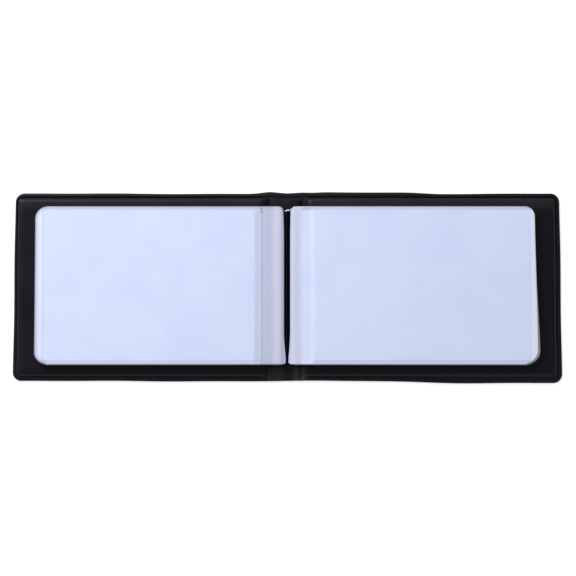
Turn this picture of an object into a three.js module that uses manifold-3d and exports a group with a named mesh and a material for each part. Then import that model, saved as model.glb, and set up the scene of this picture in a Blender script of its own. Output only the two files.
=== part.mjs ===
// Business card book, lying open and flat on its covers.
// Millimetres. X runs across the open book, Y up the page, Z up from the table.
// The origin is on the table, under the middle of the spine.
//
// A heat-sealed cover holds the boards: an outer skin, foam, a board and a lining for each
// panel, and a spine between two creases. Clear leaves are sewn to the spine down the gutter.
// Each leaf is two films welded on three edges, open towards the gutter, with a blank card.

import * as THREE from 'three';
import { mergeVertices } from 'three/addons/utils/BufferGeometryUtils.js';
import Module from 'manifold-3d';

// Cover, seen from above
const bookHeight = 80;
const panelLength = 109.5; // crease to outer edge
const spineWidth = 14; // crease to crease
const creaseGap = 0.3; // where the rigid pieces part at a crease
const coverCorner = 3.6;
const creaseCorner = 0.6;

// Cover, through its thickness
const skinThickness = 0.5;
const foamThickness = 0.6;
const boardThickness = 1.5;
const spineBoardThickness = 1.2;
const liningThickness = 0.4;

// Heat-sealed edge of the cover
const weldWidth = 1.3;
const liningRise = 1; // run of the slope from the seal up to the board
const boardClearance = 0.3; // between a board's edge and the lining's slope

// Leaves
const leavesPerSide = 6;
const leafHeight = 67.2;
const leafCorner = 5.6;
const leafInnerCorner = 0.8;
const filmThickness = 0.15;
const leafGap = 0.06; // air between one leaf and the next
const leafSeat = 0.15; // air under the lowest leaf

// Pocket and card
const cardLength = 92;
const cardThickness = 0.35;
const cardSlip = 0.02; // above and below the card
const cardPlay = 0.4; // round the card's edges
const pocketCorner = 3;
const outerSeal = 2.8; // width of the weld along the leaf's outer edge
const endSeal = 1.3; // width of the weld along its top and bottom edges
const leftMouth = 10.2; // gutter to the edge of the pocket's mouth
const rightMouth = 6;
const mouthToCard = 1.2; // on the left

// Gutter to a leaf's outer edge: as much as the left pocket needs for its card. The right is as long.
const leafLength = leftMouth + mouthToCard + cardLength + cardPlay + outerSeal;

// Binding down the gutter
const bandRadius = 1.9; // roll of the leaves' inner margins
const gutterHalf = 0.6; // narrowest half width of the open gutter
const bandFoot = 0.9; // gutter to the foot of the margins
const bandRunning = 0.15; // room round the roll for the leaves' ends to turn
const bandInset = 0.3; // the margins stop this far inside the leaf's height
const stripThickness = 0.5;
const foldThickness = 0.15;
const foldRunning = 0.1; // between the fold and the foot of the margins

// Stitching
const threadRadius = 0.2;
const stitchLength = 2.55;
const stitchLift = 0.12;
const stitchMargin = 1.2; // from the strip's end to the first stitch
const threadSeat = 0.05;
const threadGroove = 1.2; // width of the groove for the lower thread
const stitchSteps = 4;
const threadSides = 6;

const cornerSteps = 6;
const bandSteps = 18;

// Heights that follow from the sizes above
const sealHeight = skinThickness + liningThickness;
const panelBoardTop = skinThickness + foamThickness + boardThickness;
const panelThickness = panelBoardTop + liningThickness;
const spineBoardTop = skinThickness + spineBoardThickness;
const spineThickness = spineBoardTop + liningThickness;
const stripTop = spineThickness + stripThickness;
const pocketDepth = cardThickness + 2 * cardSlip;
const leafThickness = 2 * filmThickness + pocketDepth;
const leafPitch = leafThickness + leafGap;
const packBottom = panelThickness + leafSeat;

// The stack of leaves on a side turns up about this line as its cover closes: it then
// stands against the cover with the same air as it has when it lies on it.
const closedLining = spineWidth / 2 - (panelThickness - sealHeight);
const packAxisX = bandRadius + gutterHalf;
const packAxisZ = closedLining - leafSeat - packAxisX + packBottom;
const leafInnerEnd = packAxisX + bandRadius + bandRunning;

const wasm = await Module();
wasm.setup();

const book = new THREE.Group();

const leatherette = () => new THREE.MeshStandardMaterial({ color: 0x17161a, roughness: 0.5, metalness: 0 });
const greyboard = () => new THREE.MeshStandardMaterial({ color: 0x8c8578, roughness: 0.95, metalness: 0 });
const foam = () => new THREE.MeshStandardMaterial({ color: 0xd8d4c8, roughness: 1, metalness: 0 });
const clearFilm = () => new THREE.MeshStandardMaterial({ color: 0xd8e2fb, roughness: 0.25, metalness: 0 });
const cardStock = () => new THREE.MeshStandardMaterial({ color: 0xe6ebfa, roughness: 0.8, metalness: 0 });
const blackThread = () => new THREE.MeshStandardMaterial({ color: 0x101014, roughness: 0.9, metalness: 0 });

function add(parent, name, geometry, material) {
  const mesh = new THREE.Mesh(geometry, material);
  mesh.name = name;
  parent.add(mesh);
  return mesh;
}

// A rectangle given by the distances of its two ends from the gutter, on one side of the book.
// The side is -1 for the left and 1 for the right.
function sideRectangle(side, near, far, height, nearCorner, farCorner) {
  const ends = [side * near, side * far].sort((a, b) => a - b);
  return {
    left: ends[0],
    right: ends[1],
    bottom: -height / 2,
    top: height / 2,
    leftCorner: side < 0 ? farCorner : nearCorner,
    rightCorner: side < 0 ? nearCorner : farCorner,
  };
}

// The rectangle's outline, anticlockwise from above, drawn in by an inset.
// Every inset gives the same number of points, so outlines can be joined into a solid.
function outline(rectangle, inset = 0) {
  const left = rectangle.left + inset;
  const right = rectangle.right - inset;
  const bottom = rectangle.bottom + inset;
  const top = rectangle.top - inset;
  const least = creaseCorner / 2;
  const leftRadius = Math.max(rectangle.leftCorner - inset, least);
  const rightRadius = Math.max(rectangle.rightCorner - inset, least);
  const corners = [
    [right - rightRadius, bottom + rightRadius, rightRadius, -0.5],
    [right - rightRadius, top - rightRadius, rightRadius, 0],
    [left + leftRadius, top - leftRadius, leftRadius, 0.5],
    [left + leftRadius, bottom + leftRadius, leftRadius, 1],
  ];
  const points = [];
  for (const [x, y, radius, start] of corners) {
    for (let step = 0; step <= cornerSteps; step++) {
      const angle = Math.PI * (start + step / cornerSteps / 2);
      points.push(new THREE.Vector2(x + radius * Math.cos(angle), y + radius * Math.sin(angle)));
    }
  }
  return points;
}

function plate(points, low, high) {
  const shape = new THREE.Shape(points);
  const geometry = new THREE.ExtrudeGeometry(shape, { depth: high - low, bevelEnabled: false });
  return geometry.translate(0, 0, low);
}

// A section in X and Z, extruded along Y about the middle of the book.
function ridge(points, length) {
  const shape = new THREE.Shape(points);
  const geometry = new THREE.ExtrudeGeometry(shape, { depth: length, bevelEnabled: false });
  return geometry.rotateX(Math.PI / 2).translate(0, length / 2, 0);
}

// A closed solid through rings of one rectangle, each with an inset and a height.
// The first ring is closed by a face that looks down and the last by one that looks up.
function ringSolid(rectangle, rings) {
  const positions = [];
  const indices = [];
  for (const [inset, height] of rings) {
    for (const point of outline(rectangle, inset)) positions.push(point.x, point.y, height);
  }
  const count = positions.length / 3 / rings.length;
  for (let ring = 0; ring + 1 < rings.length; ring++) {
    for (let i = 0; i < count; i++) {
      const a = ring * count + i;
      const b = ring * count + ((i + 1) % count);
      indices.push(a, b, b + count, a, b + count, a + count);
    }
  }
  const last = (rings.length - 1) * count;
  const cap = (inset) => THREE.ShapeUtils.triangulateShape(outline(rectangle, inset), []);
  for (const [a, b, c] of cap(rings[0][0])) indices.push(c, b, a);
  for (const [a, b, c] of cap(rings[rings.length - 1][0])) indices.push(last + a, last + b, last + c);
  const geometry = new THREE.BufferGeometry();
  geometry.setAttribute('position', new THREE.Float32BufferAttribute(positions, 3));
  geometry.setIndex(indices);
  geometry.computeVertexNormals();
  return geometry;
}

function toManifold(geometry) {
  const bare = geometry.clone();
  bare.deleteAttribute('normal');
  bare.deleteAttribute('uv');
  const merged = mergeVertices(bare);
  const vertProperties = new Float32Array(merged.attributes.position.array);
  const triVerts = new Uint32Array(merged.index.array);
  return new wasm.Manifold(new wasm.Mesh({ numProp: 3, vertProperties, triVerts }));
}

function subtract(solid, cutter) {
  const mesh = toManifold(solid).subtract(toManifold(cutter)).getMesh();
  const geometry = new THREE.BufferGeometry();
  geometry.setAttribute('position', new THREE.BufferAttribute(new Float32Array(mesh.vertProperties), 3));
  geometry.setIndex(new THREE.BufferAttribute(new Uint32Array(mesh.triVerts), 1));
  geometry.computeVertexNormals();
  return geometry;
}

// The lining is sealed to the skin round the edge and rises over the board.
function liningSolid(rectangle, boardTop) {
  return ringSolid(rectangle, [
    [weldWidth + liningRise + liningThickness, boardTop],
    [weldWidth + liningThickness, skinThickness],
    [0, skinThickness],
    [0, sealHeight],
    [weldWidth, sealHeight],
    [weldWidth + liningRise, boardTop + liningThickness],
  ]);
}

const boardInset = weldWidth + liningRise + liningThickness + boardClearance;

function makeCover(side, word) {
  const cover = new THREE.Group();
  const near = (spineWidth + creaseGap) / 2;
  const far = spineWidth / 2 + panelLength;
  const panel = sideRectangle(side, near, far, bookHeight, creaseCorner, coverCorner);
  const foamTop = skinThickness + foamThickness;
  add(cover, `${word}_outer_skin`, plate(outline(panel), 0, skinThickness), leatherette());
  add(cover, `${word}_foam`, plate(outline(panel, boardInset), skinThickness, foamTop), foam());
  add(cover, `${word}_board`, plate(outline(panel, boardInset), foamTop, panelBoardTop), greyboard());
  add(cover, `${word}_lining`, liningSolid(panel, panelBoardTop), leatherette());
  return cover;
}

function threadRun(height, lift) {
  const length = leafHeight - 2 * bandInset - 2 * stitchMargin;
  const stitches = Math.round(length / stitchLength);
  const points = [];
  for (let step = 0; step <= stitches * stitchSteps; step++) {
    const along = step / stitchSteps;
    const rise = lift * Math.abs(Math.sin(Math.PI * along));
    points.push(new THREE.Vector3(0, (along - stitches / 2) * stitchLength, height + rise));
  }
  const path = new THREE.CatmullRomCurve3(points);
  const section = new THREE.Shape();
  for (let i = 0; i < threadSides; i++) {
    const angle = (2 * Math.PI * i) / threadSides;
    const x = threadRadius * Math.cos(angle);
    const y = threadRadius * Math.sin(angle);
    if (i === 0) section.moveTo(x, y);
    else section.lineTo(x, y);
  }
  const steps = stitches * stitchSteps;
  return new THREE.ExtrudeGeometry(section, { steps, extrudePath: path, bevelEnabled: false });
}

// The leaves' inner margins, gathered from the seam and rolled over towards their leaves.
function bandSection(side) {
  const points = [
    new THREE.Vector2(side * (packAxisX + bandRadius), stripTop),
    new THREE.Vector2(side * bandFoot, stripTop),
  ];
  for (let step = 0; step <= bandSteps; step++) {
    const angle = (Math.PI * step) / bandSteps;
    const x = packAxisX - bandRadius * Math.cos(angle);
    points.push(new THREE.Vector2(side * x, packAxisZ + bandRadius * Math.sin(angle)));
  }
  return points;
}

function makeSpine() {
  const spine = new THREE.Group();
  const half = (spineWidth - creaseGap) / 2;
  const bandLength = leafHeight - 2 * bandInset;
  const area = {
    left: -half,
    right: half,
    bottom: -bookHeight / 2,
    top: bookHeight / 2,
    leftCorner: creaseCorner,
    rightCorner: creaseCorner,
  };
  add(spine, 'spine_outer_skin', plate(outline(area), 0, skinThickness), leatherette());
  add(spine, 'spine_lining', liningSolid(area, spineBoardTop), leatherette());

  const boardHalf = half - boardInset;
  const grooveHalf = threadGroove / 2;
  const grooveFloor = spineBoardTop - 2 * threadRadius - 2 * threadSeat;
  const boardSection = [
    new THREE.Vector2(-boardHalf, skinThickness),
    new THREE.Vector2(boardHalf, skinThickness),
    new THREE.Vector2(boardHalf, spineBoardTop),
    new THREE.Vector2(grooveHalf, spineBoardTop),
    new THREE.Vector2(grooveHalf, grooveFloor),
    new THREE.Vector2(-grooveHalf, grooveFloor),
    new THREE.Vector2(-grooveHalf, spineBoardTop),
    new THREE.Vector2(-boardHalf, spineBoardTop),
  ];
  add(spine, 'spine_board', ridge(boardSection, bookHeight - 2 * boardInset), greyboard());
  add(spine, 'lower_thread', threadRun(grooveFloor + threadSeat + threadRadius, 0), blackThread());

  const stripHalf = packAxisX + bandRadius;
  const strip = [
    new THREE.Vector2(-stripHalf, spineThickness),
    new THREE.Vector2(stripHalf, spineThickness),
    new THREE.Vector2(stripHalf, stripTop),
    new THREE.Vector2(-stripHalf, stripTop),
  ];
  add(spine, 'binding_strip', ridge(strip, bandLength), leatherette());

  const foldHalf = bandFoot - foldRunning;
  const fold = [
    new THREE.Vector2(-foldHalf, stripTop),
    new THREE.Vector2(foldHalf, stripTop),
    new THREE.Vector2(foldHalf, stripTop + foldThickness),
    new THREE.Vector2(-foldHalf, stripTop + foldThickness),
  ];
  add(spine, 'center_fold', ridge(fold, bandLength), clearFilm());
  const threadHeight = stripTop + foldThickness + threadSeat + threadRadius;
  add(spine, 'seam_thread', threadRun(threadHeight, stitchLift), blackThread());

  add(spine, 'left_margin_roll', ridge(bandSection(-1), bandLength), clearFilm());
  add(spine, 'right_margin_roll', ridge(bandSection(1).reverse(), bandLength), clearFilm());
  return spine;
}

function makeLeaf(side, word, number, mouth) {
  const leaf = new THREE.Group();
  const backArea = sideRectangle(side, leafInnerEnd, leafLength, leafHeight, leafInnerCorner, leafCorner);
  add(leaf, `${word}_back_film_${number}`, plate(outline(backArea), 0, filmThickness), clearFilm());

  const frontArea = sideRectangle(side, mouth, leafLength, leafHeight, leafInnerCorner, leafCorner);
  const pocketHeight = leafHeight - 2 * endSeal;
  const pocketEnd = leafLength - outerSeal;
  const cutNear = mouth - 2 * pocketCorner; // well out past the mouth, so that the pocket is open there
  const cutArea = sideRectangle(side, cutNear, pocketEnd, pocketHeight, pocketCorner, pocketCorner);
  const pocketTop = filmThickness + pocketDepth;
  const slab = plate(outline(frontArea), filmThickness, leafThickness);
  const pocket = plate(outline(cutArea), 0, pocketTop);
  add(leaf, `${word}_front_film_${number}`, subtract(slab, pocket), clearFilm());

  const cardFar = pocketEnd - cardPlay;
  const cardHeight = pocketHeight - 2 * cardPlay;
  const cardArea = sideRectangle(side, cardFar - cardLength, cardFar, cardHeight, pocketCorner, pocketCorner);
  const cardLow = filmThickness + cardSlip;
  add(leaf, `${word}_card_${number}`, plate(outline(cardArea), cardLow, cardLow + cardThickness), cardStock());
  return leaf;
}

book.add(makeSpine());
book.add(makeCover(-1, 'left'));
book.add(makeCover(1, 'right'));

// Leaf 1 is the top one on each side and the last lies on the cover.
for (let number = 1; number <= leavesPerSide; number++) {
  const height = packBottom + (leavesPerSide - number) * leafPitch;
  const leftLeaf = makeLeaf(-1, 'left', number, leftMouth);
  const rightLeaf = makeLeaf(1, 'right', number, rightMouth);
  leftLeaf.position.z = height;
  rightLeaf.position.z = height;
  book.add(leftLeaf, rightLeaf);
}

export default book;
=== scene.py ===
# %% [markdown]
# # A pocket book for business cards, open flat
# The real object is a padded black cover, heat-sealed round its edge and creased beside the spine.
# Clear pocket leaves are sewn down the gutter, and a blank card lies in each pocket. The packed
# model gives every size and every moving body. This lesson puts soft, finished pieces over it: the
# cover, the clear sleeves, the gathered margins and the stitches.

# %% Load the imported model
import math
import bpy
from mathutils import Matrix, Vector


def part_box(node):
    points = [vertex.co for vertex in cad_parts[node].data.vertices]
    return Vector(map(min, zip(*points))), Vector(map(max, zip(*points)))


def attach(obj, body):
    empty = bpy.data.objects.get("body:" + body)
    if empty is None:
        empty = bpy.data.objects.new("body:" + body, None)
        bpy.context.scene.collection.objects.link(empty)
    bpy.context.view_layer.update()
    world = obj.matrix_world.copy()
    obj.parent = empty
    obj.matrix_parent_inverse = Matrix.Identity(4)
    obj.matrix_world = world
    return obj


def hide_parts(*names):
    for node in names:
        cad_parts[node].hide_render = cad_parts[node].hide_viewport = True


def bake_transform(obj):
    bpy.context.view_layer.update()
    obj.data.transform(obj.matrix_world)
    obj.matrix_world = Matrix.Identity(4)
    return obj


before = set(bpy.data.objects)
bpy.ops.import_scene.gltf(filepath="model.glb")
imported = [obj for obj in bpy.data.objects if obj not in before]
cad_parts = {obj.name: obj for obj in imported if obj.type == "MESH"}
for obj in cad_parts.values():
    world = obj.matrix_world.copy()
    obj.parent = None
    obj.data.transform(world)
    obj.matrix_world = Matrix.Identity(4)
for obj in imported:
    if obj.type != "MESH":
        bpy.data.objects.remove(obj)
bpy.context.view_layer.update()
mm = 0.001
leaves_per_side = 6
sides = {"left": -1, "right": 1}
print("nodes in the model:", len(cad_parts))

# %% [markdown]
# ## The camera
# The photograph looks almost straight down, from a little in front of the book, through a long
# lens that hardly converges. A field of 245 mm across the picture gives the book its real size in
# the frame.

# %% Place the camera
camera_distance = 1.4
camera_elevation = math.radians(84)
field_width = 245.2 * mm
aim = Vector((0.7 * mm, -0.3 * mm, 0))
camera_data = bpy.data.cameras.new("camera")
camera_data.sensor_width = 36
camera_data.lens = camera_data.sensor_width * camera_distance / field_width
camera = bpy.data.objects.new("camera", camera_data)
bpy.context.scene.collection.objects.link(camera)
towards_camera = Vector((0, -math.cos(camera_elevation), math.sin(camera_elevation)))
camera.location = aim + camera_distance * towards_camera
camera.rotation_euler = (math.pi / 2 - camera_elevation, 0, 0)
bpy.context.scene.camera = camera
print("lens length in mm:", round(camera_data.lens, 1))

# %% [markdown]
# ## Helpers for thin soft pieces
# Everything soft here is a thin sheet with rounded corners and detail that runs along its edge: a
# rim, a weld, a slope. A plain grid can't follow that edge. So each sheet starts as a grid of its
# own size, whose outer rows are moved onto rings at chosen distances from the edge. Two such skins,
# a top and a bottom, meet along the edge and close the piece.

# %% A smooth curve through a few heights
def slope_between(start, end):
    """The slope of the straight line between two points."""
    return (end[1] - start[1]) / (end[0] - start[0])


def slope_at(points, number):
    """The slope at one of the points, flat at the two ends and wherever the curve turns back."""
    if number == 0 or number == len(points) - 1:
        return 0
    before = slope_between(points[number - 1], points[number])
    after = slope_between(points[number], points[number + 1])
    if before * after <= 0:
        return 0
    return 2 * before * after / (before + after)


def through(points, place):
    """The height at a place, on a smooth curve through (place, height) points."""
    if place <= points[0][0]:
        return points[0][1]
    if place >= points[-1][0]:
        return points[-1][1]
    number = 0
    while place > points[number + 1][0]:
        number += 1
    start, low = points[number]
    end, high = points[number + 1]
    length = end - start
    share = (place - start) / length
    from_low = (1 + 2 * share) * (1 - share) ** 2
    from_high = share * share * (3 - 2 * share)
    leave = share * (1 - share) ** 2 * length * slope_at(points, number)
    arrive = share * share * (share - 1) * length * slope_at(points, number + 1)
    return low * from_low + high * from_high + leave + arrive


def step_between(start, end, place):
    """0 before start, 1 after end, and a soft step between them."""
    share = min(max((place - start) / (end - start), 0), 1)
    return share * share * (3 - 2 * share)


# %% Rings round a rectangle with rounded corners
def in_mm(*values):
    """Values in millimetres, as metres."""
    return [value * mm for value in values]


def spread(start, end, largest):
    """Places from start to end, evenly spaced and never further apart than the largest step."""
    count = max(1, math.ceil((end - start) / largest))
    return [start + (end - start) * number / count for number in range(count + 1)]


class Ringed:
    """A rectangle with rounded corners, its rings, and the columns and rows inside them."""

    def __init__(self, low, high, radii, insets, columns, rows):
        self.low = low
        self.high = high
        self.radii = radii  # left bottom, right bottom, left top, right top
        self.insets = insets
        self.columns = columns
        self.rows = rows
        self.rings = len(insets) - 1
        self.across = len(columns) - 1 + 2 * self.rings
        self.up = len(rows) - 1 + 2 * self.rings

    def corner(self, ring, from_left, from_bottom, radius):
        """A point on a ring's way round one corner, as its distances from the two sides."""
        inset = self.insets[ring]
        bend = max(radius - inset, 0)
        straight = self.insets[-1] - inset - bend
        half = self.rings - ring
        step = self.rings - from_left if from_bottom == ring else 2 * half - (self.rings - from_bottom)
        along = (2 * straight + math.pi / 2 * bend) * step / (2 * half)
        if along <= straight:
            return self.insets[-1] - along, inset
        if along >= straight + math.pi / 2 * bend:
            return inset, inset + bend + along - straight - math.pi / 2 * bend
        angle = (along - straight) / bend
        return inset + bend * (1 - math.sin(angle)), inset + bend * (1 - math.cos(angle))

    def from_side(self, axis, number, distance):
        """A coordinate at a distance from the nearer one of the two sides."""
        if number < self.rings:
            return self.low[axis] + distance
        return self.high[axis] - distance

    def place(self, i, j):
        """Where grid point i, j goes: its x and y, and its distance from the edge."""
        from_left = min(i, self.across - i)
        from_bottom = min(j, self.up - j)
        in_columns = from_left >= self.rings
        in_rows = from_bottom >= self.rings
        if in_columns and in_rows:
            x = self.columns[i - self.rings]
            y = self.rows[j - self.rings]
            return x, y, min(x - self.low[0], self.high[0] - x, y - self.low[1], self.high[1] - y)
        ring = min(from_left, from_bottom)
        inset = self.insets[ring]
        if in_columns:
            return self.columns[i - self.rings], self.from_side(1, j, inset), inset
        if in_rows:
            return self.from_side(0, i, inset), self.rows[j - self.rings], inset
        radius = self.radii[(1 if i > self.rings else 0) + (2 if j > self.rings else 0)]
        across, up = self.corner(ring, from_left, from_bottom, radius)
        return self.from_side(0, i, across), self.from_side(1, j, up), inset


# %% Make a closed sheet of two skins
hard_bend = math.radians(50)
strip_bend = math.radians(40)
same_place = 0.002 * mm


def select(*pieces):
    """Selects only these pieces, with the first one active."""
    bpy.ops.object.select_all(action="DESELECT")
    for piece in pieces:
        piece.select_set(True)
    bpy.context.view_layer.objects.active = pieces[0]


def edit(piece):
    """Opens one piece in edit mode, with everything in it selected."""
    select(piece)
    bpy.ops.object.mode_set(mode="EDIT")
    bpy.ops.mesh.select_all(action="SELECT")


def close_edit():
    """Leaves edit mode."""
    bpy.ops.object.mode_set(mode="OBJECT")


def join(pieces):
    """Joins pieces into the first one."""
    select(*pieces)
    bpy.ops.object.join()
    return pieces[0]


def new_piece(name, size=(1, 1, 1)):
    """Names the primitive just added, scales it, and applies its place, turn and size."""
    piece = bpy.context.object
    piece.name = name
    piece.scale = size
    bpy.ops.object.transform_apply(location=True, rotation=True, scale=True)
    return piece


def make_skin(name, shape, height, wander):
    """One skin: a grid at the sheet's size and place, whose points are moved onto the rings."""
    width = shape.high[0] - shape.low[0]
    depth = shape.high[1] - shape.low[1]
    middle = ((shape.low[0] + shape.high[0]) / 2, (shape.low[1] + shape.high[1]) / 2, 0)
    bpy.ops.object.select_all(action="DESELECT")
    bpy.ops.mesh.primitive_grid_add(
        x_subdivisions=shape.across, y_subdivisions=shape.up, size=1, location=middle
    )
    skin = new_piece(name, (width, depth, 1))
    edge = skin.data.attributes.new("from_edge", "FLOAT", "POINT")
    for vertex in skin.data.vertices:
        i = round((vertex.co.x - shape.low[0]) / width * shape.across)
        j = round((vertex.co.y - shape.low[1]) / depth * shape.up)
        x, y, inset = shape.place(i, j)
        edge.data[vertex.index].value = inset / mm
        across, along = wander(x, y, inset)
        vertex.co = (x + across, y + along, height(x + across, y + along, inset))
    return skin


def make_sheet(name, shape, top, bottom, wander):
    """A closed sheet from a top skin and a bottom skin, merged along their common edge."""
    lower = make_skin(name + "_lower", shape, bottom, wander)
    edit(lower)
    bpy.ops.mesh.flip_normals()
    close_edit()
    sheet = join([make_skin(name, shape, top, wander), lower])
    edit(sheet)
    bpy.ops.mesh.remove_doubles(threshold=same_place)
    close_edit()
    bpy.ops.object.shade_smooth_by_angle(angle=hard_bend)
    print(name, "faces:", len(sheet.data.polygons))
    return sheet


# %% Copy, mark, thicken and cut a piece
def copy_of(piece, name, move=None):
    """A copy with its own mesh, whose points a function may move."""
    copy = piece.copy()
    copy.data = piece.data.copy()
    copy.name = name
    copy.data.name = name
    bpy.context.scene.collection.objects.link(copy)
    if move:
        for vertex in copy.data.vertices:
            vertex.co += Vector(move(vertex.co.x, vertex.co.y))
    return copy


def mark(piece, attribute, amount):
    """Writes a point attribute: amount takes x, y and the distance from the edge in millimetres."""
    edges = [item.value for item in piece.data.attributes["from_edge"].data]
    marks = piece.data.attributes.new(attribute, "FLOAT", "POINT")
    for vertex in piece.data.vertices:
        marks.data[vertex.index].value = amount(vertex.co.x, vertex.co.y, edges[vertex.index])


def thicken(piece, thickness):
    """Gives a sheet of single faces a thickness, half to each side."""
    solid = piece.modifiers.new("thickness", "SOLIDIFY")
    solid.thickness = thickness
    solid.offset = 0
    bpy.ops.object.modifier_apply(modifier="thickness")
    edit(piece)
    bpy.ops.mesh.normals_make_consistent(inside=False)
    close_edit()
    bpy.ops.object.shade_smooth_by_angle(angle=strip_bend)


def cut_along(piece, start, end, count):
    """Cuts a piece across at even steps along the gutter, to keep its faces short."""
    edit(piece)
    for number in range(1, count):
        bpy.ops.mesh.select_all(action="SELECT")
        cut = start + (end - start) * number / count
        bpy.ops.mesh.bisect(plane_co=(0, cut, 0), plane_no=(0, 1, 0), threshold=0.001 * mm)
    close_edit()


# %% [markdown]
# ## Finishes
# Grain, mottling and fibre are shared by several finishes, so each is a node group with named
# inputs, built once, that only gives heights and tones. The shader stays in each material, and a
# value that is the same all over a finish is set on the shader itself.

# %% Helpers for node groups
def new_group(name, inputs, outputs):
    """An empty node group with float inputs, each with a default, and float outputs."""
    group = bpy.data.node_groups.new(name, "ShaderNodeTree")
    for title, value in inputs:
        socket = group.interface.new_socket(title, in_out="INPUT", socket_type="NodeSocketFloat")
        socket.default_value = value
    for title in outputs:
        group.interface.new_socket(title, in_out="OUTPUT", socket_type="NodeSocketFloat")
    return group, group.nodes.new("NodeGroupInput"), group.nodes.new("NodeGroupOutput")


def feed_socket(tree, socket, value):
    """Links an input socket to another socket, or gives it a plain value."""
    if isinstance(value, bpy.types.NodeSocket):
        tree.links.new(value, socket)
    else:
        socket.default_value = value


def feed(tree, node, **inputs):
    """Feeds several named inputs of a node."""
    for title, value in inputs.items():
        feed_socket(tree, node.inputs[title.replace("_", " ")], value)
    return node


def math_node(tree, operation, first, second):
    """A math node whose inputs are each a socket or a plain number."""
    node = tree.nodes.new("ShaderNodeMath")
    node.operation = operation
    for slot, value in enumerate((first, second)):
        feed_socket(tree, node.inputs[slot], value)
    return node.outputs[0]


def noise_node(tree, vector, scale, detail, roughness=0.5):
    """A noise texture on a vector, with its scale in cells per metre."""
    node = tree.nodes.new("ShaderNodeTexNoise")
    feed(tree, node, Vector=vector, Scale=scale, Detail=detail, Roughness=roughness)
    return node.outputs["Fac"]


def object_place(tree):
    """The place on the object."""
    return tree.nodes.new("ShaderNodeTexCoord").outputs["Object"]


def drawn_place(tree, scales):
    """The place on the object, squeezed along its axes, so that a pattern on it is drawn out."""
    mapping = tree.nodes.new("ShaderNodeMapping")
    return feed(tree, mapping, Vector=object_place(tree), Scale=scales).outputs["Vector"]


# %% Grain: rounded pebbles over slow swells, for leatherette and foam
grain, grain_in, grain_out = new_group(
    "pebble grain", [("Pebbles per metre", 1500), ("Swells per metre", 60)], ["Height", "Tone"]
)
pebble_height = 0.6
pebbles = grain.nodes.new("ShaderNodeTexVoronoi")
pebbles.feature = "SMOOTH_F1"
feed(grain, pebbles, Vector=object_place(grain), Scale=grain_in.outputs["Pebbles per metre"])
swells = noise_node(grain, object_place(grain), grain_in.outputs["Swells per metre"], 3)
rounded = math_node(grain, "MULTIPLY", pebbles.outputs["Distance"], -pebble_height)
feed(grain, grain_out, Height=math_node(grain, "ADD", rounded, swells), Tone=swells)

# %% Wrinkles: fine lines along the two creases of the cover
wrinkle, wrinkle_in, wrinkle_out = new_group(
    "crease wrinkles",
    [("Lines per metre", 700), ("Crease place", 7.0 * mm), ("Spread", 2.6 * mm)],
    ["Height"],
)
parts = wrinkle.nodes.new("ShaderNodeSeparateXYZ")
feed(wrinkle, parts, Vector=object_place(wrinkle))
from_gutter = math_node(wrinkle, "ABSOLUTE", parts.outputs["X"], 0)
off_crease = math_node(wrinkle, "SUBTRACT", from_gutter, wrinkle_in.outputs["Crease place"])
off_crease = math_node(wrinkle, "ABSOLUTE", off_crease, 0)
off_share = math_node(wrinkle, "DIVIDE", off_crease, wrinkle_in.outputs["Spread"])
near_crease = math_node(wrinkle, "MAXIMUM", math_node(wrinkle, "SUBTRACT", 1, off_share), 0)
lengthwise = drawn_place(wrinkle, (1, 0.22, 1))
lines = noise_node(wrinkle, lengthwise, wrinkle_in.outputs["Lines per metre"], 2)
feed(wrinkle, wrinkle_out, Height=math_node(wrinkle, "MULTIPLY", lines, near_crease))

# %% Mottling: soft blotches with fine ripples on them, for film
mottle, mottle_in, mottle_out = new_group(
    "film mottling", [("Blotches per metre", 90), ("Ripples per metre", 260)], ["Height", "Tone"]
)
ripple_share = 0.3
blotches = noise_node(mottle, object_place(mottle), mottle_in.outputs["Blotches per metre"], 2)
ripples = noise_node(mottle, object_place(mottle), mottle_in.outputs["Ripples per metre"], 1)
faint_ripples = math_node(mottle, "MULTIPLY", ripples, ripple_share)
relief = math_node(mottle, "ADD", blotches, faint_ripples)
feed(mottle, mottle_out, Height=relief, Tone=blotches)

# %% Streaks: long soft bands along the gutter, for the film of the margins
streak, streak_in, streak_out = new_group("gutter streaks", [("Streaks per metre", 260)], ["Tone"])
pulled = drawn_place(streak, (1, 0.03, 0.2))
bands = noise_node(streak, pulled, streak_in.outputs["Streaks per metre"], 2)
feed(streak, streak_out, Tone=bands)

# %% Fibre: short stretched flecks, for card, board, tape and thread
fibre, fibre_in, fibre_out = new_group(
    "short fibre", [("Fibres per metre", 2500), ("Clouds per metre", 150)], ["Height", "Tone"]
)
strand_share = 0.4
cloud_share = 0.6
stretched = drawn_place(fibre, (1, 0.35, 1))
strands = noise_node(fibre, stretched, fibre_in.outputs["Fibres per metre"], 4, 0.7)
clouds = noise_node(fibre, object_place(fibre), fibre_in.outputs["Clouds per metre"], 3)
faint_strands = math_node(fibre, "MULTIPLY", strands, strand_share)
faint_clouds = math_node(fibre, "MULTIPLY", clouds, cloud_share)
feed(fibre, fibre_out, Height=strands, Tone=math_node(fibre, "ADD", faint_strands, faint_clouds))
print("node groups:", [group.name for group in bpy.data.node_groups])

# %% [markdown]
# ## Leatherette, film, card, board, foam and thread
# The cover is a soft satin plastic leather: nearly black, with a fine pebble grain, a little
# lighter at the rim, where hands rub it. The film is milky rather than clear as glass: it hides
# most of what lies below and has a cool blue cast. Tones that follow a shape, such as the line of
# a weld, could be painted, but here a point attribute of the piece says where they lie.

# %% Helpers for materials
def new_material(name, viewport):
    """A material with its node tree and its Principled shader."""
    material = bpy.data.materials.new(name)
    material.use_nodes = True
    material.diffuse_color = (*viewport, 1)
    return material, material.node_tree, material.node_tree.nodes["Principled BSDF"]


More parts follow.
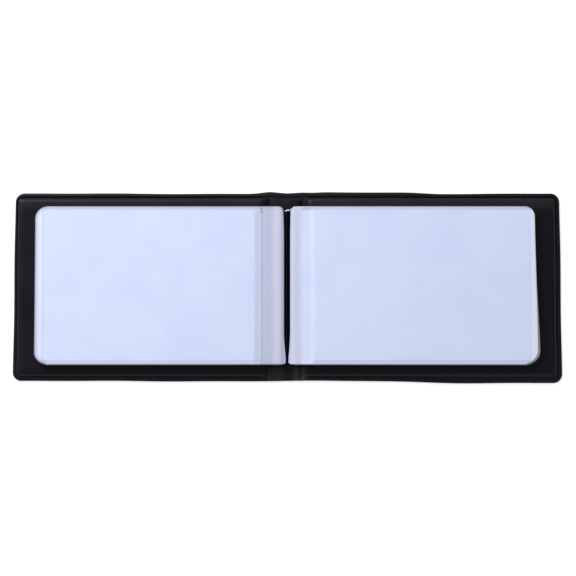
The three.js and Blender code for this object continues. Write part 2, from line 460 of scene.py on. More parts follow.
def use_group(tree, group, **values):
    """A group placed in a material with its own values."""
    node = tree.nodes.new("ShaderNodeGroup")
    node.node_tree = group
    return feed(tree, node, **values)


def ramp_node(tree, value, low, high, low_colour, high_colour):
    """A colour ramp between two colours."""
    node = tree.nodes.new("ShaderNodeValToRGB")
    node.color_ramp.elements[0].position = low
    node.color_ramp.elements[0].color = (*low_colour, 1)
    node.color_ramp.elements[1].position = high
    node.color_ramp.elements[1].color = (*high_colour, 1)
    return feed(tree, node, Fac=value).outputs["Color"]


def mix_node(tree, share, colour, other):
    """Mixes in another colour, which is a socket or three plain numbers."""
    node = tree.nodes.new("ShaderNodeMix")
    node.data_type = "RGBA"
    if isinstance(other, tuple):
        other = (*other, 1)
    return feed(tree, node, Factor=share, A=colour, B=other).outputs["Result"]


def attribute_node(tree, name):
    """The value of a point attribute, which is 0 on a piece without it."""
    node = tree.nodes.new("ShaderNodeAttribute")
    node.attribute_name = name
    return node.outputs["Fac"]


def tint(tree, colour, attribute, other, most=1):
    """Mixes in another colour where a point attribute of the piece is high."""
    share = math_node(tree, "MULTIPLY", attribute_node(tree, attribute), most)
    return mix_node(tree, share, colour, other)


def add_bump(tree, shader, height, distance, strength=1.0):
    """A bump from a height, feeding the shader's normal."""
    bump = tree.nodes.new("ShaderNodeBump")
    feed(tree, bump, Height=height, Distance=distance, Strength=strength)
    feed(tree, shader, Normal=bump.outputs["Normal"])


# %% Leatherette
leatherette, tree, shader = new_material("black leatherette", (0.012, 0.011, 0.013))
pebbled = use_group(tree, grain, Pebbles_per_metre=1500, Swells_per_metre=70)
drift = pebbled.outputs["Tone"]
tone = ramp_node(tree, drift, 0.3, 0.7, (0.0024, 0.0021, 0.0032), (0.0040, 0.0035, 0.0052))
handled = tree.nodes.new("ShaderNodeMapRange")
feed(tree, handled, Value=attribute_node(tree, "from_edge"))
feed(tree, handled, From_Min=0.2, From_Max=1.4, To_Min=1, To_Max=0)
wear = math_node(tree, "MULTIPLY", handled.outputs["Result"], drift)
tone = mix_node(tree, wear, tone, (0.012, 0.011, 0.014))
# Painted sheen: the lining is lighter between the creases at the foot, with painted glints on them, and
# along the slope at the head.
tone = tint(tree, tone, "painted_sheen", (0.05, 0.048, 0.053))
satin_roughness = 0.31
drift_roughness = 0.14
matt_roughness = 0.3
wrinkle_height = 5
satin = math_node(tree, "ADD", math_node(tree, "MULTIPLY", drift, drift_roughness), satin_roughness)
dulling = math_node(tree, "MULTIPLY", attribute_node(tree, "matt"), matt_roughness)
feed(tree, shader, Base_Color=tone, Roughness=math_node(tree, "ADD", dulling, satin))
feed(tree, shader, Specular_IOR_Level=0.2, Specular_Tint=(0.9, 0.82, 1.0, 1))
wrinkled = use_group(tree, wrinkle, Lines_per_metre=700, Crease_place=7.0 * mm, Spread=2.8 * mm)
creased = math_node(tree, "MULTIPLY", wrinkled.outputs["Height"], wrinkle_height)
relief = math_node(tree, "ADD", creased, pebbled.outputs["Height"])
add_bump(tree, shader, relief, 0.05 * mm, 0.7)

# %% Milky film, for the pockets and for the backs with their margins
pocket_tones = (0.665, 0.735, 0.985), (0.695, 0.765, 1.0)
margin_tones = (0.66, 0.69, 0.87), (0.715, 0.75, 0.91)
light_tone = (0.86, 0.89, 1.0)
weld_tone = (0.36, 0.38, 0.62)
# Painted shade: a near-black tone for the films' outer edges, where the page meets the cover.
edge_shade_tone = (0.03, 0.035, 0.07)


def make_film(name, greyed_tone, clearness, margins):
    """A milky film with soft blotches, and with streaks beside the gutter if it has margins."""
    material, tree, shader = new_material(name, pocket_tones[1])
    mottled = use_group(tree, mottle, Blotches_per_metre=70, Ripples_per_metre=300)
    tone = ramp_node(tree, mottled.outputs["Tone"], 0.35, 0.65, *pocket_tones)
    if margins:
        streaked = use_group(tree, streak, Streaks_per_metre=300)
        beside = ramp_node(tree, streaked.outputs["Tone"], 0.35, 0.65, *margin_tones)
        tone = tint(tree, beside, "over_card", tone)
    # Greyer where no card lies behind the film; on the margins at the slit's edge this is painted
    # shade.
    tone = tint(tree, tone, "greyed", greyed_tone)
    tone = tint(tree, tone, "light", light_tone)
    tone = tint(tree, tone, "weld_line", weld_tone, 0.32)
    # Painted shade along the outer edges, where the clear cut edge also shows the dark cover.
    tone = tint(tree, tone, "edge_shade", edge_shade_tone)
    feed(tree, shader, Base_Color=tone, Roughness=0.45, Specular_IOR_Level=0.3)
    feed(tree, shader, IOR=1.45, Transmission_Weight=clearness)
    add_bump(tree, shader, mottled.outputs["Height"], 0.08 * mm, 0.35)
    return material


film = make_film("pocket film", (0.54, 0.56, 0.76), 0.12, False)
margin_film = make_film("margin film", (0.57, 0.60, 0.79), 0.2, True)

# %% Foam, inside the cover
foam, tree, shader = new_material("foam sheet", (0.68, 0.65, 0.57))
open_cells = use_group(tree, grain, Pebbles_per_metre=2200, Swells_per_metre=200)
tone = ramp_node(tree, open_cells.outputs["Tone"], 0.3, 0.7, (0.6, 0.57, 0.5), (0.74, 0.71, 0.63))
feed(tree, shader, Base_Color=tone, Roughness=1)
add_bump(tree, shader, open_cells.outputs["Height"], 0.1 * mm)


# %% Card, pressed board, and the tape and thread of the seam
def make_fibrous(name, viewport, fibres, clouds, low_tone, high_tone, roughness, depth, strength=1.0):
    """A matt material of short fibres, whose tone drifts between two colours."""
    material, tree, shader = new_material(name, viewport)
    fibrous = use_group(tree, fibre, Fibres_per_metre=fibres, Clouds_per_metre=clouds)
    tone = ramp_node(tree, fibrous.outputs["Tone"], 0.3, 0.7, low_tone, high_tone)
    feed(tree, shader, Base_Color=tone, Roughness=roughness)
    add_bump(tree, shader, fibrous.outputs["Height"], depth, strength)
    return material, tree, shader


card, tree, shader = make_fibrous(
    "plain card", (0.8, 0.84, 0.94), 2600, 120,
    (0.80, 0.84, 0.93), (0.86, 0.89, 0.97), 0.8, 0.02 * mm, 0.6,
)
board, tree, shader = make_fibrous(
    "grey board", (0.27, 0.24, 0.19), 1400, 90,
    (0.2, 0.175, 0.14), (0.33, 0.3, 0.25), 0.95, 0.05 * mm,
)
tape, tree, shader = make_fibrous(
    "seam tape", (0.004, 0.005, 0.012), 4000, 500,
    (0.002, 0.0026, 0.011), (0.0045, 0.0055, 0.018), 0.9, 0.05 * mm,
)
feed(tree, shader, Specular_IOR_Level=0.06)
thread, tree, shader = make_fibrous(
    "black thread", (0.012, 0.012, 0.015), 6000, 800,
    (0.010, 0.011, 0.022), (0.032, 0.033, 0.05), 0.7, 0.03 * mm,
)
feed(tree, shader, Sheen_Weight=0.15, Specular_IOR_Level=0.15)
print("materials:", [material.name for material in bpy.data.materials])


# %% Finish a piece
def finish_with(piece, material):
    """Gives a piece its material, in a single slot."""
    piece.data.materials.clear()
    piece.data.materials.append(material)


# %% [markdown]
# ## The cover
# The real cover is two sheets of leatherette sealed together round the edge over padded boards.
# The seal leaves a thin soft rim with a pressed line behind it, then the lining climbs the edge of
# the board. It could be a box with bevels, but the rim, the slope and the two creases need their
# own heights, so it is a ringed sheet whose height comes from two curves: one for the distance
# from the edge and one for the distance from the gutter.

# %% Curves of the cover, as places and heights in millimetres
cover_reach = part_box("right_outer_skin")[1][0]
cover_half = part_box("right_outer_skin")[1][1]
panel_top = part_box("right_lining")[1][2] / mm
spine_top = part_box("spine_lining")[1][2] / mm
crease = (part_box("spine_lining")[1][0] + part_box("right_lining")[0][0]) / 2
rim_top = [
    (0, 0.50), (0.12, 0.74), (0.35, 0.88), (0.75, 0.98),
    (1.15, 1.0), (1.4, 0.9), (1.62, 0.76), (1.85, 0.78),
]
rim_bottom = [
    (0, 0.50), (0.12, 0.28), (0.35, 0.13), (0.8, 0.10),
    (1.2, 0.26), (1.5, 0.26), (2.2, 0.1), (4, 0),
]
climb = [(1.62, 0), (1.85, 0.12), (2.15, 0.5), (2.45, 0.76), (2.9, 0.91), (3.6, 0.975), (4.6, 1)]
crease_dip = [
    (0, spine_top), (4.4, spine_top), (5.6, 1.75), (6.5, 1.2), (7.1, 1.05), (7.8, 1.3),
    (9.0, 2.35), (10.4, 2.92), (12.5, panel_top),
]
outer_groove = [(5.2, 0), (6.3, 0.16), (7.0, 0.26), (7.7, 0.16), (8.8, 0)]
print("crease at", round(crease / mm, 2), "mm from the gutter")


# %% Heights of the cover
def ridge(x, place, width):
    """A narrow ridge that runs along the gutter on both sides of it."""
    return math.exp(-((abs(x) / mm - place) / width) ** 2)


def crinkle(x, y):
    """Small folds of the lining that stand along both creases."""
    outer = 0.13 * ridge(x, 7.9, 0.32) * (0.8 + 0.3 * math.sin(y / (2.3 * mm) + x / mm))
    inner = 0.10 * ridge(x, 6.3, 0.3) * (0.6 + 0.5 * math.sin(y / (3.1 * mm) + 1))
    return outer + inner


def cover_top(x, y, inset):
    """The inside of the cover: rim, seal, slope, panel and creases."""
    level = through(crease_dip, abs(x) / mm)
    rim = through(rim_top, inset / mm)
    if inset > 0.75 * mm:
        pressed = 0.35 + 0.65 * step_between(10 * mm, 38 * mm, y)
        rim = 1 - (1 - rim) * pressed
    swell = 0.05 * math.sin(x / (9 * mm)) * math.sin(y / (7 * mm) + 1.3)
    return (rim + (level + swell + crinkle(x, y) - rim) * through(climb, inset / mm)) * mm


def cover_bottom(x, y, inset):
    """The outside of the cover: rim, seal and the two grooves of the creases."""
    return (through(rim_bottom, inset / mm) + through(outer_groove, abs(x) / mm)) * mm


wander_depth = 2.6 * mm


def cover_wander(x, y, inset):
    """The cover isn't cut quite straight, and bulges a little at the creases."""
    fade = max(1 - inset / wander_depth, 0)
    ends = math.exp(-((abs(x) - crease) / (5 * mm)) ** 2)
    wave = 0.22 * math.sin(x / (17 * mm) + 0.6) + 0.12 * math.sin(x / (6.5 * mm))
    hump = step_between(8 * mm, 18 * mm, x) * (1 - step_between(50 * mm, 66 * mm, x))
    sag = step_between(30 * mm, 85 * mm, x) * 0.85
    upper = 0.15 + 0.5 * wave + (0.7 if x < 0 else 0.3) * ends + 0.5 * hump
    lower = -0.1 + 0.6 * wave - sag
    along = (upper if y > 0 else lower) * min(abs(y) / cover_half, 1) ** 4
    outward = 0.5 * (1 - y / cover_half) / 2 + 0.1 * math.sin(y / (8 * mm))
    across = (outward if x > 0 else 0.95 - outward) * (abs(x) / cover_reach) ** 4
    return across * fade * mm, along * fade * mm


# %% Model the cover as one sheet
cover_corner = 3.7 * mm
crease_step, spine_step, panel_step = in_mm(0.22, 0.55, 2.2)
cover_insets = in_mm(
    0, 0.12, 0.35, 0.75, 1.15, 1.4, 1.62, 1.85, 2.15, 2.45, 2.65, 2.9, 3.25, 3.6, 4.6, 5.4,
)
half_columns = spread(0, 5.5 * mm, spine_step)
half_columns += spread(5.5 * mm, 9.3 * mm, crease_step)[1:]
half_columns += spread(9.3 * mm, 14 * mm, spine_step)[1:]
half_columns += spread(14 * mm, cover_reach - cover_insets[-1], panel_step)[1:]
cover_columns = [-place for place in reversed(half_columns)] + half_columns[1:]
cover_rows = spread(cover_insets[-1] - cover_half, cover_half - cover_insets[-1], panel_step)
cover_shape = Ringed(
    (-cover_reach, -cover_half), (cover_reach, cover_half), [cover_corner] * 4,
    cover_insets, cover_columns, cover_rows,
)
whole_cover = make_sheet("whole_cover", cover_shape, cover_top, cover_bottom, cover_wander)

# %% Mark where the cover is matt and where its lining carries a painted sheen
# Painted glints at the foot, by place across the gutter in millimetres.
foot_glints = [
    (-8.0, 0), (-7.5, 0.55), (-6.8, 0.3), (-2.8, 0.28), (-0.8, 0.04), (1.2, 0), (2.6, 0.12),
    (4.1, 0.5), (5.4, 0.28), (6.4, 0.35), (7.4, 1), (8.0, 0.4), (8.8, 0.2), (10.6, 0),
]
# Painted sheen on the slope along the head, on each side of the spine.
head_sheen = {"left": 0.1, "right": 0.18}


def matt_mark(x, y, edge):
    """The lining is matt between the creases, in the half towards the head."""
    return (1 - step_between(8 * mm, 11 * mm, abs(x))) * step_between(-10 * mm, 10 * mm, y)


def sheen_mark(x, y, edge):
    """Painted glints on the creases, lighter between them, at the foot; painted sheen along the head.
    """
    foot = through(foot_glints, x / mm) * step_between(-33.5 * mm, -35 * mm, y)
    beside = step_between(9 * mm, 12 * mm, abs(x)) * head_sheen["right" if x > 0 else "left"]
    head = beside * step_between(33 * mm, 35 * mm, y) * step_between(2.2, 3, edge)
    return max(foot, head)


mark(whole_cover, "matt", matt_mark)
mark(whole_cover, "painted_sheen", sheen_mark)
print("cover marked")

# %% [markdown]
# The cover folds at both creases, and a piece can only bend between two bodies. So the one sheet is cut
# down the middle of the spine, where it is level and mostly hidden, into a left and a right half.

# %% Cut the cover down the middle of the spine
for word, side in sides.items():
    half = copy_of(whole_cover, word + "_cover")
    edit(half)
    bpy.ops.mesh.bisect(
        plane_co=(0, 0, 0), plane_no=(1, 0, 0), use_fill=True,
        clear_inner=side > 0, clear_outer=side < 0, threshold=0.001 * mm,
    )
    close_edit()
    bpy.ops.object.shade_smooth_by_angle(angle=hard_bend)
    finish_with(half, leatherette)
    names = [word + "_outer_skin", word + "_lining"]
    if side > 0:
        names += ["spine_outer_skin", "spine_lining"]
    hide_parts(*names)
    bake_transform(half)
    print(half.name, "faces:", len(half.data.polygons))
bpy.data.objects.remove(whole_cover)

# %% [markdown]
# ## The clear leaves
# Each leaf is a back film with a front film welded to it on three sides, open towards the gutter.
# The film lies flat on the weld, then lifts over the card, so the weld shows as a thin level band
# round the pocket. The left page and the right page are each modelled once, as the top leaf, and
# the leaves below are copies that peek out a little at the corners, as loose sheets do.

# %% Sizes of a leaf
leaf_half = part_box("right_back_film_1")[1][1]
leaf_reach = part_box("right_back_film_1")[1][0]
leaf_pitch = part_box("right_back_film_1")[0][2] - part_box("right_back_film_2")[0][2]
leaf_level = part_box("right_back_film_1")[0][2]
film_half = 0.065 * mm
gutter_end = {"left": 1.0 * mm, "right": 1.62 * mm}
front_insets = in_mm(
    0, 0.06, 0.4, 0.8, 1.1, 1.35, 1.6, 1.9, 2.3, 2.6, 2.85, 3.1, 3.5, 4.3, 5.4, 6.7,
)
back_insets = in_mm(0, 0.06, 0.35, 0.8, 1.4, 2.4, 3.8, 5.2, 6.7)
corner_radii = {"left": (0.9, 5.2, 2.0, 5.3), "right": (0.9, 6.2, 2.2, 4.4)}  # foot, then head
print("leaf pitch", round(leaf_pitch / mm, 3), "mm, top leaf at", round(leaf_level / mm, 2), "mm")


# %% Shapes that run from the gutter outwards on either side
def side_radii(word):
    """The four corner radii in the order of a ringed shape."""
    near_low, far_low, near_high, far_high = in_mm(*corner_radii[word])
    if word == "left":
        return far_low, near_low, far_high, near_high
    return near_low, far_low, near_high, far_high


def side_shape(word, near, far, insets, step):
    """A ringed shape from near to far on one side of the gutter."""
    side = sides[word]
    left = min(side * near, side * far)
    right = max(side * near, side * far)
    columns = spread(left + insets[-1], right - insets[-1], step)
    rows = spread(insets[-1] - leaf_half, leaf_half - insets[-1], step)
    return Ringed((left, -leaf_half), (right, leaf_half), side_radii(word), insets, columns, rows)


def slant(word, x, y):
    """The outer edge of the right page isn't cut square: it runs out towards the foot."""
    if word == "left":
        return 0
    return -1.15 * mm * step_between(-36 * mm, 40 * mm, y) * (x / leaf_reach) ** 6


def gutter_wander(word):
    """The gutter closes towards the foot of the book and opens at its head."""

    def wander(x, y, inset):
        near_gutter = 1 - step_between(1 * mm, 6 * mm, abs(x))
        closing = 0.85 * step_between(-20 * mm, -35 * mm, y)
        closing -= 0.2 * step_between(20 * mm, 34 * mm, y)
        return -sides[word] * closing * near_gutter * mm + slant(word, x, y), 0.2 * mm

    return wander


def make_film_sheet(name, word, shape, middle):
    """A film of even thickness round a middle height, which closes at its cut edge."""

    def half_thickness(inset):
        return film_half * min(inset / front_insets[1], 1)

    def top(x, y, inset):
        return middle(word, x, y, inset) + half_thickness(inset)

    def bottom(x, y, inset):
        return middle(word, x, y, inset) - half_thickness(inset)

    return make_sheet(name, shape, top, bottom, gutter_wander(word))


# %% Where the weld runs round the card
weld_rise = 0.12 * mm
weld_run = {"left": 1.9 * mm, "right": 2.9 * mm}
card_boxes = {word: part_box(word + "_card_1") for word in sides}
card_near = {word: min(abs(box[0][0]), abs(box[1][0])) for word, box in card_boxes.items()}
card_far = {word: max(abs(box[0][0]), abs(box[1][0])) for word, box in card_boxes.items()}


def off_weld(word, x, y):
    """1 over the card, 0 on the weld along the three outer edges, and soft between them."""
    low, high = card_boxes[word]
    ends = 1 - step_between(0.05 * mm, 1.4 * mm, max(low[1] - y, y - high[1]))
    outer = 1 - step_between(0.1 * mm, weld_run[word], abs(x) - card_far[word])
    return ends * outer


# %% Back films
margin_rise = [(0, -0.42), (0.5, -0.16), (1.0, 0.06), (1.7, 0.15), (2.7, 0.09), (4.3, 0)]
back_clearance = 0.02 * mm


def margin_rise_at(word, x):
    """How far a back film rises over the gathered margins, or dips into the slit."""
    return through(margin_rise, (abs(x) - gutter_end[word]) / mm) * mm


def back_middle(word, x, y, inset):
    """The middle of a back film, which rises over the gathered margins and at the weld."""
    weld = weld_rise * (1 - off_weld(word, x, y)) * step_between(8 * mm, 12 * mm, abs(x))
    return leaf_level + film_half + back_clearance + margin_rise_at(word, x) + weld


back_films = {}
for word in sides:
    shape = side_shape(word, gutter_end[word], leaf_reach, back_insets, 3.2 * mm)
    back_films[word] = make_film_sheet(word + "_sleeve_back_1", word, shape, back_middle)

# %% Front films
front_level = 0.235 * mm
card_lift = 0.375 * mm


def leaf_wave(x, y, inset):
    """Slow waves of the plastic, strongest along the free edges."""
    edge = 1 - step_between(0, 14 * mm, inset)
    slow = 0.035 * math.sin(x / (13 * mm) + 0.4) * math.cos(y / (11 * mm))
    quick = 0.03 * edge * math.sin(x / (5.5 * mm) + y / (9 * mm))
    return (slow + quick) * mm


def front_middle(word, x, y, inset):
    """The middle of a front film, level on the weld and at the mouth, and lifted over the card."""
    wave = leaf_wave(x, y, inset) * step_between(0.3 * mm, 3 * mm, inset)
    inside = off_weld(word, x, y)
    mouth = 1 - step_between(0.1 * mm, 1.1 * mm, card_near[word] - abs(x))
    lift = card_lift * inside * mouth + weld_rise * (1 - inside)
    return leaf_level + front_level + lift + max(wave, 0)


front_films = {}
for word in sides:
    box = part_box(word + "_front_film_1")
    mouth = min(abs(box[0][0]), abs(box[1][0]))
    shape = side_shape(word, mouth, leaf_reach, front_insets, 2.6 * mm)
    front_films[word] = make_film_sheet(word + "_sleeve_front_1", word, shape, front_middle)

# %% [markdown]
# Where no card lies behind it, the film looks greyer, and next to the slit the margins also get a
# painted shade where they dip into it. Outside the card the two films lie close together and look
# lighter, a pressed line follows the weld, and the cut edges turn clear, with a painted shade along
# them where the page meets the cover.

# %% How strong each mark of the films is
bare_mouth = {
    "left": [(10.2, 0), (11.0, 0.1), (11.6, 0.5), (12.6, 0.75), (14.2, 0)],
    "right": [(5.2, 0.5), (6.4, 0.25), (7.6, 0)],
}
# Greying of the margins by distance from the gutter; next to the slit it is painted shade.
margin_grey_and_shade = {
    "left": [
        (1.0, 1), (2.6, 0.5), (3.6, 0), (4.6, 0.05), (5.7, 0.6), (6.6, 1), (8.2, 1), (10.4, 0.9),
        (12.4, 0),
    ],
    "right": [(1.5, 1), (2.1, 0.8), (2.7, 0.05), (3.4, 0.2), (5.3, 0.2), (12.4, 0)],
}
weld_strength = {"left": (0.9, 0.8, 0.5), "right": (0.2, 1.4, 0.5)}  # outer edge, foot and head
light_strength = {"left": (0.15, 0.6), "right": (0.8, 0.25)}  # outer edge and foot
edge_shading = {
    # Painted shade along the outer edges, by distance from the edge in millimetres.
    "left": [(0, 0.8), (0.3, 0.42), (0.8, 0.2), (1.4, 0.08), (2.4, 0)],
    "right": [(0, 0.5), (0.25, 0.15), (0.5, 0)],
}
margin_zone = 12 * mm


def front_bareness(word, x, y, edge):
    """The front film looks greyer along the head and at the mouth."""
    head = card_boxes[word][1][1]
    if y > head:
        return step_between(0.1, 0.7, (y - head) / mm)
    return through(bare_mouth[word], abs(x) / mm)


def margin_greying_and_shade(word, x, y, edge):
    """The margins darken in bands where no card lies behind them, and most at the slit, as painted
    shade.
    """
    return through(margin_grey_and_shade[word], abs(x) / mm)


def card_mark(word, x, y, edge):
    """The part of a back film that lies under its card."""
    return step_between(10.4 * mm, 12.4 * mm, abs(x))


def weld_mark(word, x, y, edge):
    """The pressed line of the weld, close to the edge of the card."""
    low, high = card_boxes[word]
    outer, foot, head = weld_strength[word]
    if abs(x) < margin_zone:
        return 0
    half = 0.25  # half the width of the line, in millimetres
    lines = (abs(x) - card_far[word], -0.2, outer), (low[1] - y, 0.1, foot), (y - high[1], 0.1, head)
    return max(value * math.exp(-((out / mm - place) / half) ** 2) for out, place, value in lines)


def light_mark(word, x, y, edge):
    """The lighter band outside the card, at the outer edge and at the foot."""
    outer, foot = light_strength[word]
    beyond_end = step_between(0, 0.8, (abs(x) - card_far[word]) / mm)
    beyond_foot = step_between(0.2, 0.7, (card_boxes[word][0][1] - y) / mm)
    return max(outer * beyond_end, foot * beyond_foot)


def edge_shade_mark(word, x, y, edge):
    """Painted shade along the three outer edges, which also turn clear over the dark cover."""
    if abs(x) < margin_zone and abs(y) < leaf_half - 3 * mm:
        return 0
    if abs(x) > leaf_reach - 5 * mm:
        share = 1
    else:
        share = 0.5 if y > 0 else 0.25
    return share * through(edge_shading[word], edge)


# %% Write the marks on the films
front_marks = {"greyed": front_bareness, "weld_line": weld_mark, "light": light_mark, "edge_shade": edge_shade_mark}
back_marks = {"greyed": margin_greying_and_shade, "over_card": card_mark, "edge_shade": edge_shade_mark}
for word in sides:
    for films, marks in ((front_films, front_marks), (back_films, back_marks)):
        for attribute, amount in marks.items():
            mark(films[word], attribute, lambda *place: amount(word, *place))
print("marks on the films:", sorted({*front_marks, *back_marks}))

# %% Copy the top leaf down the stack
gutter_stagger = 0.33 * mm
corner_peek = {"left": 0.10, "right": 0.42}


def peek(word, number):
    """How a lower leaf lies: askew at the outer edge, set back and flatter at the gutter."""

    def move(x, y):
        reach = abs(x) / leaf_reach
        low = step_between(10 * mm, -34 * mm, y)
        out = corner_peek[word] * min(number - 1, 2) * low
        jog = 0.12 * math.sin(2.3 * number + sides[word])
        back = gutter_stagger * (number - 1) * (1 - step_between(1 * mm, 9 * mm, abs(x)))
        across = sides[word] * ((out + jog) * reach ** 3 * mm + back)
        flatten = 0.9 * min(margin_rise_at(word, x), 0)
        return across, 0.1 * math.sin(1.7 * number) * reach * mm, -leaf_pitch * (number - 1) - flatten

    return move


def place_sleeve(piece, word, part, number):
    """Gives a film its finish and its body, and hides the CAD node it replaces."""
    finish_with(piece, film if part == "front" else margin_film)
    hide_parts(f"{word}_{part}_film_{number}")
    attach(piece, f"{word}_leaf_{number}")


for word in sides:
    for part, source in (("back", back_films[word]), ("front", front_films[word])):
        for number in range(2, leaves_per_side + 1):
            copy = copy_of(source, f"{word}_sleeve_{part}_{number}", peek(word, number))
            place_sleeve(copy, word, part, number)
        place_sleeve(source, word, part, 1)
print("sleeves:", 2 * leaves_per_side, "leaves of two films")

# %% [markdown]
# ## The margins in the gutter
# The real back films run on down to the seam, as a wall of thin plies on each side of the slit.
# They could bend with the leaves, but six films that bend in one gutter cut into each other. So
# each ply is a straight narrow strip on the spine, below the edge of its leaf: a grid whose columns
# are moved onto a curve. The two inner plies on the left stay short, clear of the closed leaves.

# %% Plies of the gathered margins
ply_thickness = 0.09 * mm
ply_steps = 8
ply_rows = 30
ply_lean = 0.1  # in millimetres, by which a ply's foot stands nearer to the gutter
margin_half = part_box("right_margin_roll")[1][1]
ply_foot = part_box("binding_strip")[1][2] / mm + 0.06
ply_walls = {  # distance from the gutter and height of the top, in millimetres
    -1: [(1.53, 3.30), (1.63, 3.30), (1.90, 5.28), (2.15, 4.53), (2.48, 3.78), (2.81, 3.03)],
    1: [(1.85, 6.45), (2.08, 6.03), (2.20, 5.28), (2.60, 4.53), (3.10, 3.78), (3.43, 3.03)],
}


def ply_curve(side, number):
    """Points from the seam up towards a leaf, as x and z. Ply 1 stands next to the slit."""
    wall, top = ply_walls[side][number - 1]
    knee = ply_foot + 0.4 * (top - ply_foot)
    curve = [(wall - ply_lean, ply_foot), (wall, knee), (wall, top)]
    return [(side * x * mm, z * mm) for x, z in curve]


def along_curve(points, share):
    """The point at a share of the way along a chain of points."""
    lengths = [math.dist(start, end) for start, end in zip(points, points[1:])]
    left = share * sum(lengths)
    number = 0
    while number < len(lengths) - 1 and left > lengths[number]:
        left -= lengths[number]
        number += 1
    part = min(left / lengths[number], 1)
    return [start + (end - start) * part for start, end in zip(points[number], points[number + 1])]


def make_ply(name, side, number):
    """One ply of film, as a strip with a thickness."""
    bpy.ops.object.select_all(action="DESELECT")
    bpy.ops.mesh.primitive_grid_add(x_subdivisions=ply_steps, y_subdivisions=ply_rows, size=1)
    ply = new_piece(name, (1, 2 * margin_half, 1))
    curve = ply_curve(side, number)
    for vertex in ply.data.vertices:
        x, z = along_curve(curve, vertex.co.x + 0.5)
        vertex.co = (x, vertex.co.y, z)
    thicken(ply, ply_thickness)
    return ply


for word, side in sides.items():
    plies = [make_ply(f"{word}_ply_{number}", side, number) for number in range(1, leaves_per_side + 1)]
    margins = join(plies)
    margins.name = word + "_gathered_margins"
    finish_with(margins, margin_film)
    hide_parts(word + "_margin_roll")
    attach(margins, "spine")
    print(margins.name, "faces:", len(margins.data.polygons))

# %% [markdown]
# ## The seam
# A black thread is sewn down the middle of the gutter, through the films and the strip under them.
# One stitch is a pair of twisted strands that dives at both ends. It is modelled once, as two
# short cylinders whose rings are moved round each other, and repeated by an array.

# %% One stitch, repeated down the seam
seam_low, seam_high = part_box("seam_thread")
seam_margin = 0.1 * mm
stitch_count = 25
stitch_length = (seam_high[1] - seam_low[1] - 2 * seam_margin) / stitch_count
stitch_rings = 12
strand_radius = 0.13 * mm
strand_offset = 0.09 * mm
stitch_dive = 0.30 * mm
seam_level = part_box("center_fold")[1][2] + 0.16 * mm


def make_strand(name, turn):
    """One of the two strands of a stitch, which twist round the stitch's line."""
    bpy.ops.object.select_all(action="DESELECT")
    bpy.ops.mesh.primitive_cylinder_add(
        vertices=8, radius=strand_radius, depth=stitch_length, location=(0, 0, 0),
        rotation=(math.pi / 2, 0, 0), end_fill_type="NGON",
    )
    strand = new_piece(name)
    cut_along(strand, -stitch_length / 2, stitch_length / 2, stitch_rings)
    for vertex in strand.data.vertices:
        share = vertex.co.y / stitch_length
        angle = turn + 3 * math.pi * share
        dive = stitch_dive * step_between(0.3, 0.5, abs(share))
        narrowing = 1 - 0.35 * step_between(0.38, 0.5, abs(share))
        vertex.co.x = vertex.co.x * narrowing + strand_offset * math.cos(angle)
        vertex.co.z = vertex.co.z * narrowing + strand_offset * math.sin(angle) + seam_level - dive
    return strand


stitches = join([make_strand("seam_stitches", 0), make_strand("seam_strand", math.pi)])
for vertex in stitches.data.vertices:
    vertex.co.y += seam_low[1] + seam_margin + stitch_length / 2
repeat = stitches.modifiers.new("repeat", "ARRAY")
repeat.count = stitch_count
repeat.use_relative_offset = False
repeat.use_constant_offset = True
repeat.constant_offset_displace = (0, stitch_length, 0)
bpy.ops.object.modifier_apply(modifier="repeat")
bpy.ops.object.shade_smooth_by_angle(angle=hard_bend)
finish_with(stitches, thread)
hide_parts("seam_thread")
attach(stitches, "spine")
print("stitches:", stitch_count, "faces:", len(stitches.data.polygons))

# %% [markdown]
# ## Strip and fold under the seam
# Under the stitches lies a black strip with soft edges, and on it a narrow fold, which is as black as
# the strip in the photograph. A white fleck at the head of the gutter is the glint on a cut edge of
# clear film, painted as the fold's cut end in white card: a painted highlight. A flat patch would
# vanish under the leaves, so it is a small curved tab that stands up.

# %% The binding strip
strip_low, strip_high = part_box("binding_strip")
bpy.ops.object.select_all(action="DESELECT")
bpy.ops.mesh.primitive_cube_add(size=1, location=[(a + b) / 2 for a, b in zip(strip_low, strip_high)])
strip = new_piece("seam_strip", [b - a for a, b in zip(strip_low, strip_high)])
cut_along(strip, strip_low[1], strip_high[1], 24)
soft = strip.modifiers.new("soft edges", "BEVEL")
soft.width = 0.15 * mm
soft.segments = 3
soft.limit_method = "ANGLE"
bpy.ops.object.modifier_apply(modifier="soft edges")
bpy.ops.object.shade_smooth_by_angle(angle=strip_bend)
finish_with(strip, tape)
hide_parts("binding_strip")
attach(strip, "spine")
print("strip faces:", len(strip.data.polygons))

# %% The cut end of the fold, a white tab that stands up at the head of the gutter as a painted highlight
tab_half = 1.0
tab_height = 1.6
tab_offset = 0.4
tab_setback = 0.95
bpy.ops.object.select_all(action="DESELECT")
bpy.ops.mesh.primitive_grid_add(x_subdivisions=12, y_subdivisions=6, size=2, location=(0, 0, 0))
glinting_fold_end = new_piece("glinting_fold_end")
fold_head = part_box("center_fold")[1]
for vertex in glinting_fold_end.data.vertices:
    across = vertex.co.x
    share = (vertex.co.y + 1) / 2
    lean = 0.25 * across + 0.12 * math.cos(3 * across) + 0.15 * share
    vertex.co = (
        (tab_offset + tab_half * across) * mm,
        fold_head[1] - (tab_setback - lean) * mm,
        fold_head[2] + (tab_height * share - 0.05 - 0.1 * share * across) * mm,
    )
thicken(glinting_fold_end, 0.32 * mm)
# White card as a painted highlight: the glint on a cut edge of clear film.
finish_with(glinting_fold_end, card)
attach(glinting_fold_end, "spine")
print("fold end faces:", len(glinting_fold_end.data.polygons))


# %% Better finishes for the CAD pieces that stay
def refinish(node, material):
    """Puts a material in all of a CAD node's slots."""
    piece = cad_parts[node]
    if not piece.material_slots:
        piece.data.materials.append(material)
    for slot in piece.material_slots:
        slot.material = material


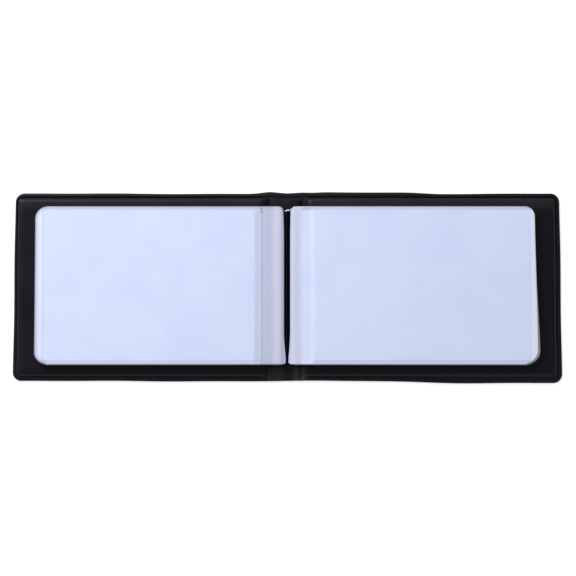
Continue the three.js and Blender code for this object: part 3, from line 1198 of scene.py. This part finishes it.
refinish("center_fold", tape)
refinish("lower_thread", thread)
refinish("spine_board", board)
for word in sides:
    refinish(word + "_board", board)
    refinish(word + "_foam", foam)
    for number in range(1, leaves_per_side + 1):
        refinish(f"{word}_card_{number}", card)
print("CAD pieces refinished")

# %% [markdown]
# ## Floor and light
# The book lies on a plain white floor. A broad soft lamp stands behind and to the left, as the
# bright edge along the head of the cover shows, a faint one fills from the front, and the world
# fills the rest evenly. The floor adds some white of its own for the camera, so that it reads as
# pure white but keeps its shadow. The lamps could be stronger, but then the pages would burn out.

# %% Floor
floor_grey = 0.5
floor_glow = 0.62
bpy.ops.object.select_all(action="DESELECT")
bpy.ops.mesh.primitive_plane_add(size=8, location=(0, 0, -0.02 * mm))
floor = bpy.context.object
floor.name = "floor"
floor_material, tree, shader = new_material("white floor", (1, 1, 1))
feed(tree, shader, Base_Color=(floor_grey, floor_grey, floor_grey, 1))
feed(tree, shader, Roughness=0.9, Specular_IOR_Level=0)
path = tree.nodes.new("ShaderNodeLightPath")
seen = math_node(tree, "MAXIMUM", path.outputs["Is Camera Ray"], path.outputs["Is Glossy Ray"])
seen = math_node(tree, "MAXIMUM", seen, path.outputs["Is Transmission Ray"])
glow = math_node(tree, "MULTIPLY", seen, floor_glow)
feed(tree, shader, Emission_Color=(1, 1, 1, 1), Emission_Strength=glow)
floor.data.materials.append(floor_material)
print("floor placed")

# %% World and lamps
world = bpy.data.worlds.new("studio")
world.use_nodes = True
background = world.node_tree.nodes["Background"]
feed(world.node_tree, background, Color=(1, 1, 1, 1), Strength=0.42)
bpy.context.scene.world = world


def add_lamp(name, place, size, power):
    """A square soft lamp that faces the book."""
    data = bpy.data.lights.new(name, "AREA")
    data.shape = "SQUARE"
    data.size = size
    data.energy = power
    lamp = bpy.data.objects.new(name, data)
    lamp.location = place
    lamp.rotation_euler = (-Vector(place)).to_track_quat("-Z", "Y").to_euler()
    bpy.context.scene.collection.objects.link(lamp)


add_lamp("key lamp", (-0.45, 0.56, 0.615), 0.49, 9.2)
add_lamp("front fill", (0.2, -0.8, 0.6), 0.4, 0.4)
bpy.context.scene.view_settings.view_transform = "Standard"
print("lamps placed")
